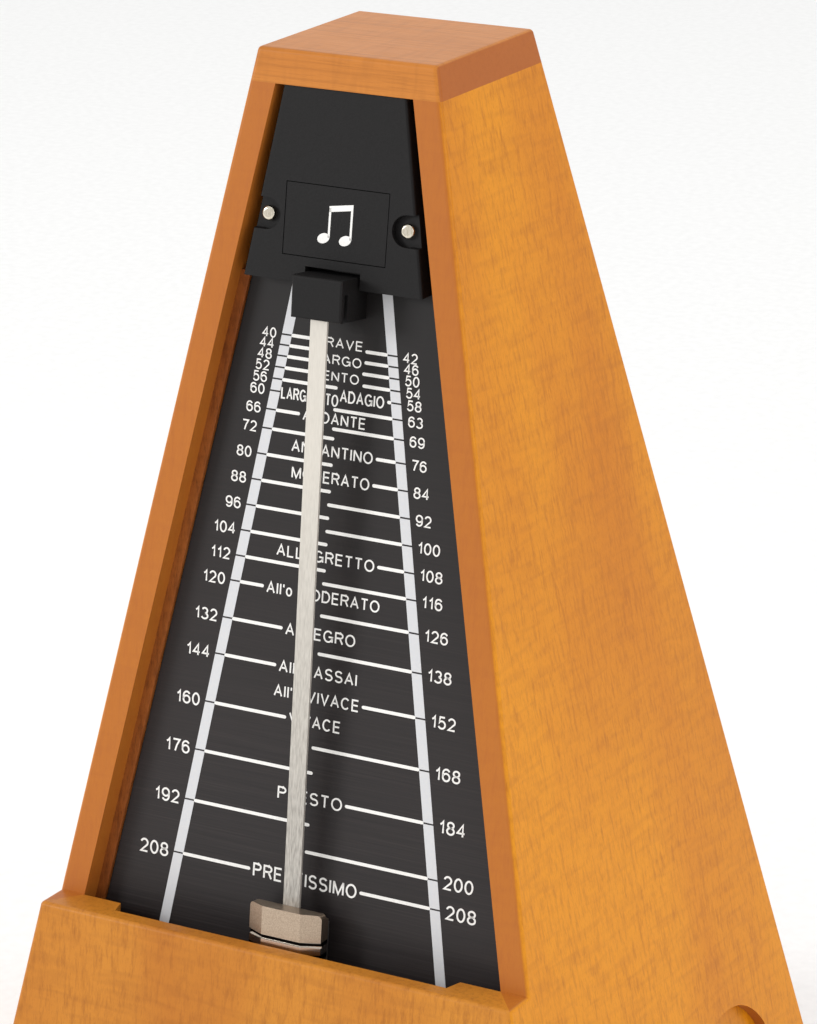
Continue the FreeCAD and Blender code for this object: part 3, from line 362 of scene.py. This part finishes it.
# Word, its mark, the side of that mark, middle, drop below the mark, width and capital height in mm.
WORDS = (
    ("GRAVE", 42, 1, 0.0, -0.75, 9.7, 1.75), ("LARGO", 46, 1, 0.0, 0.3, 9.6, 1.75),
    ("LENTO", 50, 1, 0.0, 1.2, 9.0, 1.75), ("LARGHETTO", 60, -1, -5.3, 0.1, 11.8, 2.15),
    ("ADAGIO", 58, 1, 5.4, 0.2, 9.0, 2.15), ("ANDANTE", 66, -1, 0.0, 0.0, 12.9, 2.05),
    ("ANDANTINO", 76, 1, 0.0, 0.0, 16.7, 2.15), ("MODERATO", 84, 1, 0.0, 0.0, 16.0, 2.15),
    ("ALLEGRETTO", 108, 1, 0.0, 0.0, 20.2, 2.15), ("All'o MODERATO", 120, -1, 0.0, 0.0, 23.4, 2.15),
    ("ALLEGRO", 132, -1, 0.0, 0.0, 14.5, 2.2), ("All'o ASSAI", 144, -1, 0.0, 0.0, 16.2, 2.2),
    ("All'o VIVACE", 152, 1, 0.0, 0.0, 17.7, 2.2), ("VIVACE", 160, -1, 0.0, 0.0, 10.7, 2.2),
    ("PRESTO", 184, 1, 0.0, 0.0, 13.5, 2.35), ("PRESTISSIMO", 208, -1, 0.0, 0.0, 21.8, 2.6),
)
# Side and mark of the lines that start away from the middle, and where they start.
SHORT_MARKS = {(-1, 40), (-1, 44), (-1, 48), (-1, 52), (1, 54)}
SHORT_START = 5.3 * MM
# How far a line runs in under its stripe, and how fast the stripes spread going down.
LINE_OVERLAP = 0.1 * MM
STRIPE_SPREAD = 0.169
# Where the stripes end: above the foot of the dial and behind the top cover.
STRIPE_FOOT, STRIPE_HEAD = 0.2 * MM, 2.0 * MM


def bob_distance(tempo):
    """How far up the rod the scale puts the bob for a tempo, from the pendulum law.

    gravity is in mm/s2; first (mm) and second (mm2) are the other moving parts' moments over the
    bob's mass. They set where the printed marks go and aren't worked out from the movement.
    """
    gravity, first, second = 9810.0, 128.73, 8425.7
    omega2 = (math.pi * tempo / 60) ** 2
    root = math.sqrt(gravity ** 2 - 4 * omega2 * (omega2 * second - gravity * first))
    return (-gravity + root) / (2 * omega2)


def mark_height(tempo):
    """Height of a tempo mark: the bob's reading edge stands above its middle."""
    reading_edge, stretch = 55.85, 1.0137
    return (reading_edge + bob_distance(tempo) / stretch) * MM


def stripe_edges(z, sizes):
    """Inner and outer half width of the two white stripes at a height."""
    drop = TOP - z
    return sizes.stripe_inner + STRIPE_SPREAD * drop, sizes.stripe_outer + STRIPE_SPREAD * drop


# ---- flat print -------------------------------------------------------------------
def add_slab(mesh, top, bottom):
    """Closes two rings of vertices into a flat solid."""
    mesh.faces.new(top)
    mesh.faces.new(bottom[::-1])
    for i in range(len(top)):
        j = (i + 1) % len(top)
        mesh.faces.new((top[i], bottom[i], bottom[j], top[j]))


def solid_print(name, outlines, sizes, material):
    """Thin raised print on the dial from outlines of (u, v) points about a height."""
    mesh = bmesh.new()
    for z0, outline in outlines:
        rings = [[mesh.verts.new(DIAL.point(u, v, z0, lift)) for u, v in outline]
                 for lift in (sizes.ink_lift, 0.0)]
        add_slab(mesh, *rings)
    bmesh.ops.recalc_face_normals(mesh, faces=mesh.faces)
    return finished(name, mesh, material, "case")


def finished(name, mesh, material, body):
    """Turns a bmesh into an object that rides on a body."""
    data = bpy.data.meshes.new(name)
    mesh.to_mesh(data)
    mesh.free()
    data.materials.append(material)
    piece = bpy.data.objects.new(name, data)
    bpy.context.scene.collection.objects.link(piece)
    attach(piece, body)
    return piece


def capsule(u0, u1, width, steps=5):
    """Outline of a level stroke with round ends."""
    radius = width / 2
    points = []
    for centre, start in ((u1 - radius, -90), (u0 + radius, 90)):
        for i in range(steps + 1):
            angle = math.radians(start + 180 * i / steps)
            points.append((centre + radius * math.cos(angle), radius * math.sin(angle)))
    return points


def bow(x, y, rx, ry, start, end, steps=12):
    """Points of an elliptic arc between two angles in degrees."""
    turns = [math.radians(start + (end - start) * i / steps) for i in range(steps + 1)]
    return [(x + rx * math.cos(turn), y + ry * math.sin(turn)) for turn in turns]


RING = bow(0.5, 0.5, 0.5, 0.5, 90, 450, 24)
BOWL = [(0, 0), (0, 1), (0.58, 1)] + bow(0.58, 0.76, 0.42, 0.24, 90, -90, 8) + [(0, 0.52)]
# Each letter has its width and its strokes in a box one unit wide and one high.
GLYPHS = {
    " ": (0.22, []), "'": (0.0, [[(0.5, 1), (0.5, 0.72)]]), "l": (0.0, [[(0.5, 0), (0.5, 1)]]),
    "o": (0.42, [bow(0.5, 0.36, 0.5, 0.36, 90, 450, 20)]),
    "A": (0.62, [[(0, 0), (0.5, 1), (1, 0)], [(0.2, 0.34), (0.8, 0.34)]]),
    "C": (0.64, [bow(0.5, 0.5, 0.5, 0.5, 42, 318, 20)]),
    "D": (0.60, [[(0.4, 0), (0, 0), (0, 1), (0.4, 1)] + bow(0.4, 0.5, 0.6, 0.5, 90, -90, 14)]),
    "E": (0.50, [[(1, 1), (0, 1), (0, 0), (1, 0)], [(0, 0.52), (0.92, 0.52)]]),
    "G": (0.68, [bow(0.5, 0.5, 0.5, 0.5, 42, 340, 22) + [(1, 0.47), (0.56, 0.47)], [(1, 0.47), (1, 0)]]),
    "H": (0.58, [[(0, 0), (0, 1)], [(1, 0), (1, 1)], [(0, 0.52), (1, 0.52)]]),
    "I": (0.0, [[(0.5, 0), (0.5, 1)]]),
    "L": (0.46, [[(0, 1), (0, 0), (1, 0)]]),
    "M": (0.72, [[(0, 0), (0, 1)], [(0, 1), (0.5, 0.02), (1, 1)], [(1, 1), (1, 0)]]),
    "N": (0.58, [[(0, 0), (0, 1)], [(0, 1), (1, 0)], [(1, 0), (1, 1)]]),
    "O": (0.70, [RING]),
    "P": (0.54, [BOWL]),
    "R": (0.57, [BOWL, [(0.60, 0.52), (1, 0)]]),
    "S": (0.54, [bow(0.5, 0.755, 0.46, 0.245, 25, 250, 12) + bow(0.5, 0.26, 0.5, 0.26, 75, -155, 12)]),
    "T": (0.54, [[(0, 1), (1, 1)], [(0.5, 1), (0.5, 0)]]),
    "V": (0.60, [[(0, 1), (0.5, 0), (1, 1)]]),
    "0": (0.56, [RING]),
    "1": (0.32, [[(0.1, 0.72), (0.5, 0.80), (0.85, 1), (0.85, 0)]]),
    "2": (0.56, [bow(0.5, 0.70, 0.48, 0.30, 165, -32, 12) + [(0.02, 0), (1, 0)]]),
    "3": (0.56, [bow(0.48, 0.755, 0.44, 0.245, 155, -80, 10), bow(0.48, 0.26, 0.52, 0.26, 80, -160, 12)]),
    "4": (0.58, [[(0.74, 0), (0.74, 1), (0, 0.28), (1, 0.28)]]),
    "5": (0.56, [[(0.90, 1), (0.20, 1), (0.08, 0.48)] + bow(0.48, 0.33, 0.52, 0.33, 125, -155, 14)]),
    "6": (0.56, [bow(0.5, 0.32, 0.5, 0.32, 90, 450, 20), bow(0.5, 0.66, 0.5, 0.34, 30, 180, 10)
                 + [(0, 0.32)]]),
    "7": (0.56, [[(0, 1), (1, 1), (0.58, 0.5), (0.36, 0)]]),
    "8": (0.56, [bow(0.5, 0.765, 0.43, 0.235, 90, 450, 18), bow(0.5, 0.27, 0.5, 0.27, 90, 450, 20)]),
    "9": (0.56, [bow(0.5, 0.68, 0.5, 0.32, 90, 450, 20), bow(0.5, 0.34, 0.5, 0.34, -150, 0, 10)
                 + [(1, 0.68)]]),
}


def set_line(text, width, cap, sizes):
    """Strokes of a line of type about its own middle; width None keeps the natural width."""
    weight, space = sizes.letter_weight * cap, sizes.letter_space * cap
    advances = [GLYPHS[c][0] * cap + weight for c in text]
    natural = sum(advances) + space * (len(text) - 1)
    stretch = (width - weight) / (natural - weight) if width else 1.0
    strokes = []
    x = -natural / 2
    for letter, advance in zip(text, advances):
        for stroke in GLYPHS[letter][1]:
            strokes.append([((x + weight / 2 + px * (advance - weight)) * stretch,
                             (py - 0.5) * (cap - weight)) for px, py in stroke])
        x += advance + space
    return strokes, weight, (width or natural) / 2


def stroke_sides(points, width):
    """Both edges of an even stroke with mitred corners; a stroke that meets itself is closed."""
    points = [Vector(p) for p in points]
    closed = (points[0] - points[-1]).length < 1e-7
    if closed:
        points = points[:-1]
    last = len(points) - 1
    sides = []
    for i, point in enumerate(points):
        ways = []
        if i > 0 or closed:
            ways.append((point - points[i - 1]).normalized())
        if i < last or closed:
            ways.append((points[(i + 1) % len(points)] - point).normalized())
        mean = sum(ways, Vector((0, 0))).normalized()
        reach = width / 2 / max(0.5, mean.dot(ways[0]))
        normal = Vector((-mean.y, mean.x)) * reach
        sides.append((point + normal, point - normal))
    return sides, closed


def add_stroke(mesh, points, width, place):
    """Adds one raised stroke; place turns (u, v, top or bottom) into a point."""
    sides, closed = stroke_sides(points, width)
    rows = [[mesh.verts.new(place(p.x, p.y, top)) for p, top in
             ((left, 1), (right, 1), (right, 0), (left, 0))] for left, right in sides]
    pairs = list(zip(rows, rows[1:]))
    if closed:
        pairs.append((rows[-1], rows[0]))
    else:
        mesh.faces.new(rows[0])
        mesh.faces.new(rows[-1][::-1])
    for a, b in pairs:
        for i in range(4):
            j = (i + 1) % 4
            mesh.faces.new((a[i], b[i], b[j], a[j]))


def print_lines(name, entries, sizes, material):
    """One object from (text, middle, height, width, cap height); returns the half widths too."""
    mesh = bmesh.new()
    halves = []
    for text, middle, z0, width, cap in entries:
        strokes, weight, half = set_line(text, width, cap, sizes)
        halves.append(half)
        for stroke in strokes:
            add_stroke(mesh, stroke, weight,
                       lambda u, v, top: DIAL.point(middle + u, v, z0, sizes.ink_lift * top))
    bmesh.ops.recalc_face_normals(mesh, faces=mesh.faces)
    return finished(name, mesh, material, "case"), halves


# ---- settings ------------------------------------------------------------------------
def length(name, description, default):
    return FloatProperty(name=name, description=description, default=default, unit="LENGTH", precision=5)


class MetronomeSizes(PropertyGroup):
    """Sizes of the print and the emblem."""
    stripe_inner: length("Stripe inner", "Inner half width of the stripes at the very top", 1.25 * MM)
    stripe_outer: length("Stripe outer", "Outer half width of the stripes at the very top", 3.31 * MM)
    stroke: length("Line width", "Width of the tempo lines", 0.6 * MM)
    tick: length("Tick width", "Width of the dark tick across a stripe", 0.3 * MM)
    digit_top: length("Top digits", "Height of the slowest tempo number", 1.85 * MM)
    digit_bottom: length("Bottom digits", "Height of the fastest tempo number", 2.6 * MM)
    number_gap: length("Number gap", "Space between a number and its stripe", 1.2 * MM)
    word_gap: length("Word gap", "Space between a word and its line", 0.6 * MM)
    ink_lift: length("Ink thickness", "How far the print stands off the dial", 0.04 * MM)
    letter_space: FloatProperty(name="Spacing", description="Gap between letters, in cap heights",
                                default=0.14)
    letter_weight: FloatProperty(name="Weight", description="Stroke width in cap heights", default=0.135)


class MetronomeColours(PropertyGroup):
    """Colours as sRGB hex codes."""
    side_light: StringProperty(name="Side light", description="Light streaks of the sides",
                               default="#D88A06")
    side_middle: StringProperty(name="Side middle", description="Body colour of the sides",
                                default="#C67603")
    side_dark: StringProperty(name="Side dark", description="Dark streaks of the sides",
                              default="#9C5404")
    ink: StringProperty(name="Ink", description="White of the print", default="#F0EEEA")


class MetronomeView(PropertyGroup):
    """Camera and stage."""
    azimuth: FloatProperty(name="Azimuth", description="Turn round the object",
                           default=math.radians(30.94), unit="ROTATION")
    elevation: FloatProperty(name="Elevation", description="Height angle", default=math.radians(18.45),
                             unit="ROTATION")
    roll: FloatProperty(name="Roll", description="Tilt of the camera", default=math.radians(-0.97),
                        unit="ROTATION")
    place: FloatVectorProperty(name="Place", description="Where the camera stands",
                               default=(0.376819, -0.624107, 0.379552), unit="LENGTH")
    lens: FloatProperty(name="Lens", description="Focal length for a 36 mm tall sensor", default=149.46)


# ---- operators -------------------------------------------------------------------------
class METRONOME_OT_finishes(Operator):
    """Give every part of the movement, case and dial its finish"""
    bl_idname = "metronome.finishes"
    bl_label = "Finishes"

    def execute(self, context):
        make_finishes(context.scene.metronome_colours)
        slots = {s["node"]: s["material_slot"] for s in frame["record"]["subparts"]}
        for name, node in frame["nodes"].items():
            node.data.materials.clear()
            finish = "left_wood" if name == "left_side_panel" else slots[name]
            node.data.materials.append(FINISHES[finish])
        return {"FINISHED"}


class METRONOME_OT_stripes(Operator):
    """Print the two white stripes, broken by a dark tick at every number"""
    bl_idname = "metronome.stripes"
    bl_label = "Stripes"

    def execute(self, context):
        sizes = context.scene.metronome_sizes
        bottom = DIAL.low.z + STRIPE_FOOT
        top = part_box("top_cover")[0].z + STRIPE_HEAD
        for name, sign, marks in (("left_stripe", -1, LEFT_MARKS), ("right_stripe", 1, RIGHT_MARKS)):
            heights = sorted(mark_height(m) for m in marks)
            cuts = [bottom] + [h + s * sizes.tick / 2 for h in heights for s in (-1, 1)] + [top]
            outlines = []
            for z0, z1 in zip(cuts[::2], cuts[1::2]):
                low_in, low_out = stripe_edges(z0, sizes)
                high_in, high_out = stripe_edges(z1, sizes)
                rise = (z1 - z0) / DIAL.lean
                outlines.append((z0, [(sign * low_in, 0), (sign * low_out, 0),
                                      (sign * high_out, rise), (sign * high_in, rise)]))
            solid_print(name, outlines, sizes, FINISHES["grey_ink"])
        return {"FINISHED"}


class METRONOME_OT_words(Operator):
    """Print the tempo words, the numbers and the lines between them"""
    bl_idname = "metronome.words"
    bl_label = "Words and lines"

    def execute(self, context):
        sizes = context.scene.metronome_sizes
        ink = FINISHES["ink"]
        entries = [(word, middle * MM, mark_height(mark) - drop * MM, width * MM, cap * MM)
                   for word, mark, _, middle, drop, width, cap in WORDS]
        halves = print_lines("tempo_words", entries, sizes, ink)[1]
        ends = {(row[2], row[1]): (row[3] * MM, half) for row, half in zip(WORDS, halves)}
        # The fastest word has a line on each side of it.
        ends[(1, 208)] = ends[(-1, 208)]
        outlines, numbers = [], []
        span = mark_height(LEFT_MARKS[0]) - mark_height(LEFT_MARKS[-1])
        for sign, marks in ((-1, LEFT_MARKS), (1, RIGHT_MARKS)):
            for mark in marks:
                z = mark_height(mark)
                near, far = stripe_edges(z, sizes)
                start = SHORT_START if (sign, mark) in SHORT_MARKS else -sizes.stroke / 2
                if (sign, mark) in ends:
                    middle, half = ends[(sign, mark)]
                    start = sign * middle + half + sizes.word_gap
                if near - start > sizes.stroke:
                    pair = sorted((sign * start, sign * (near + LINE_OVERLAP)))
                    outlines.append((z, capsule(*pair, sizes.stroke)))
                share = (mark_height(LEFT_MARKS[0]) - z) / span
                cap = sizes.digit_top + share * (sizes.digit_bottom - sizes.digit_top)
                half = set_line(str(mark), None, cap, sizes)[2]
                numbers.append((str(mark), sign * (far + sizes.number_gap + half), z, None, cap))
        solid_print("tempo_lines", outlines, sizes, ink)
        print_lines("tempo_numbers", numbers, sizes, ink)
        return {"FINISHED"}


# The emblem in mm about the middle of the plate: note heads, one note's stem and the beam.
NOTE_PLACES = (-2.3, 2.1)
HEAD_LONG, HEAD_SHORT, HEAD_HEIGHT, HEAD_TILT = 1.25, 0.85, -2.7, 0.35
STEM = [(0.85, -2.5), (1.25, -2.5), (1.25, 2.6), (0.85, 2.6)]
BEAM = [(-1.45, 1.9), (3.35, 2.6), (3.35, 3.6), (-1.45, 2.9)]
EMBLEM_ABOVE, EMBLEM_BELOW = 0.05, 0.02


class METRONOME_OT_emblem(Operator):
    """Print a plain pair of beamed notes on the name plate"""
    bl_idname = "metronome.emblem"
    bl_label = "Emblem"

    def execute(self, context):
        low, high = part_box("name_plate")
        plate_slope = 0.17
        middle = (low.z + high.z) / 2
        front = low.y + plate_slope * (middle - low.z)
        outlines = []
        for x in NOTE_PLACES:
            outlines.append([(x + HEAD_LONG * math.cos(a) * math.cos(HEAD_TILT)
                              - HEAD_SHORT * math.sin(a) * math.sin(HEAD_TILT),
                              HEAD_HEIGHT + HEAD_LONG * math.cos(a) * math.sin(HEAD_TILT)
                              + HEAD_SHORT * math.sin(a) * math.cos(HEAD_TILT))
                             for a in (2 * math.pi * i / 20 for i in range(20))])
            outlines.append([(x + u, v) for u, v in STEM])
        outlines.append(BEAM)
        mesh = bmesh.new()
        for outline in outlines:
            add_slab(mesh, *([mesh.verts.new((u * MM, front + plate_slope * v * MM - lift * MM,
                                              middle + v * MM)) for u, v in outline]
                             for lift in (EMBLEM_ABOVE, -EMBLEM_BELOW)))
        bmesh.ops.recalc_face_normals(mesh, faces=mesh.faces)
        finished("note_emblem", mesh, FINISHES["ink"], "case")
        return {"FINISHED"}


FLOOR_REACH = 6.0
WORLD_STRENGTH = 0.92
LIGHT_AIM = Vector((0.0, 0.0, 0.12))
# Name, place, side in metres and power in watts.
SOFTBOXES = (
    ("key_softbox", (-1.05, -0.95, 0.60), 0.35, 7.5),
    ("right_softbox", (1.3, -0.1, 0.55), 0.8, 4.0),
    ("top_softbox", (0.1, 0.2, 1.5), 0.9, 2.0),
)


class METRONOME_OT_stage(Operator):
    """Set the pale floor, the soft lights and the camera"""
    bl_idname = "metronome.stage"
    bl_label = "Stage"

    def execute(self, context):
        self.floor()
        self.lights(context.scene)
        self.camera(context.scene)
        return {"FINISHED"}

    def floor(self):
        mesh = bmesh.new()
        bmesh.ops.create_grid(mesh, x_segments=1, y_segments=1, size=FLOOR_REACH)
        data = bpy.data.meshes.new("floor")
        mesh.to_mesh(data)
        mesh.free()
        material, tree, shader = new_material("Pale matt paper", 0.9)
        fibre = noise(tree, (3, 3, 3), detail=2.0)
        tree.links.new(mixed(tree, levels(tree, fibre, 0.3, 0.7), "#F7F7F6", "#F2F2F1"),
                       shader.inputs["Base Color"])
        data.materials.append(material)
        floor = bpy.data.objects.new("floor", data)
        bpy.context.scene.collection.objects.link(floor)

    def lights(self, scene):
        world = bpy.data.worlds.new("studio")
        world.use_nodes = True
        world.node_tree.nodes["Background"].inputs["Color"].default_value = linear("#FFFFFF")
        world.node_tree.nodes["Background"].inputs["Strength"].default_value = WORLD_STRENGTH
        scene.world = world
        for name, place, size, power in SOFTBOXES:
            data = bpy.data.lights.new(name, "AREA")
            data.shape = "SQUARE"
            data.size = size
            data.energy = power
            light = bpy.data.objects.new(name, data)
            light.location = place
            light.rotation_euler = (LIGHT_AIM - Vector(place)).to_track_quat("-Z", "Y").to_euler()
            scene.collection.objects.link(light)
        scene.view_settings.view_transform = "Standard"

    def camera(self, scene):
        view = scene.metronome_view
        turn, rise, roll = view.azimuth, view.elevation, view.roll
        back = Vector((math.sin(turn) * math.cos(rise), -math.cos(turn) * math.cos(rise), math.sin(rise)))
        right = Vector((0, 0, 1)).cross(back).normalized()
        up = back.cross(right)
        across = math.cos(roll) * right + math.sin(roll) * up
        upright = -math.sin(roll) * right + math.cos(roll) * up
        data = bpy.data.cameras.new("camera")
        data.sensor_fit = "VERTICAL"
        data.sensor_height = 36.0
        data.lens = view.lens
        camera = bpy.data.objects.new("camera", data)
        matrix = Matrix((across, upright, back)).transposed().to_4x4()
        matrix.translation = Vector(view.place)
        camera.matrix_world = matrix
        scene.collection.objects.link(camera)
        scene.camera = camera


class METRONOME_PT_panel(Panel):
    """Buttons for the metronome's pieces, in the order they are made"""
    bl_label = "Metronome"
    bl_idname = "METRONOME_PT_panel"
    bl_space_type = "VIEW_3D"
    bl_region_type = "UI"
    bl_category = "Metronome"

    def draw(self, context):
        for group in (context.scene.metronome_sizes, context.scene.metronome_colours,
                      context.scene.metronome_view):
            for key in group.__annotations__:
                self.layout.prop(group, key)
        for step in STEPS:
            self.layout.operator(step.bl_idname)


STEPS = (METRONOME_OT_finishes, METRONOME_OT_stripes, METRONOME_OT_words, METRONOME_OT_emblem,
         METRONOME_OT_stage)
CLASSES = (MetronomeSizes, MetronomeColours, MetronomeView) + STEPS + (METRONOME_PT_panel,)


def register():
    for cls in CLASSES:
        bpy.utils.register_class(cls)
    bpy.types.Scene.metronome_sizes = PointerProperty(type=MetronomeSizes)
    bpy.types.Scene.metronome_colours = PointerProperty(type=MetronomeColours)
    bpy.types.Scene.metronome_view = PointerProperty(type=MetronomeView)


def unregister():
    del bpy.types.Scene.metronome_view
    del bpy.types.Scene.metronome_colours
    del bpy.types.Scene.metronome_sizes
    for cls in reversed(CLASSES):
        bpy.utils.unregister_class(cls)


def main():
    register()
    for step in STEPS:
        group, action = step.bl_idname.split(".")
        getattr(getattr(bpy.ops, group), action)()


if __name__ == "__main__":
    main()
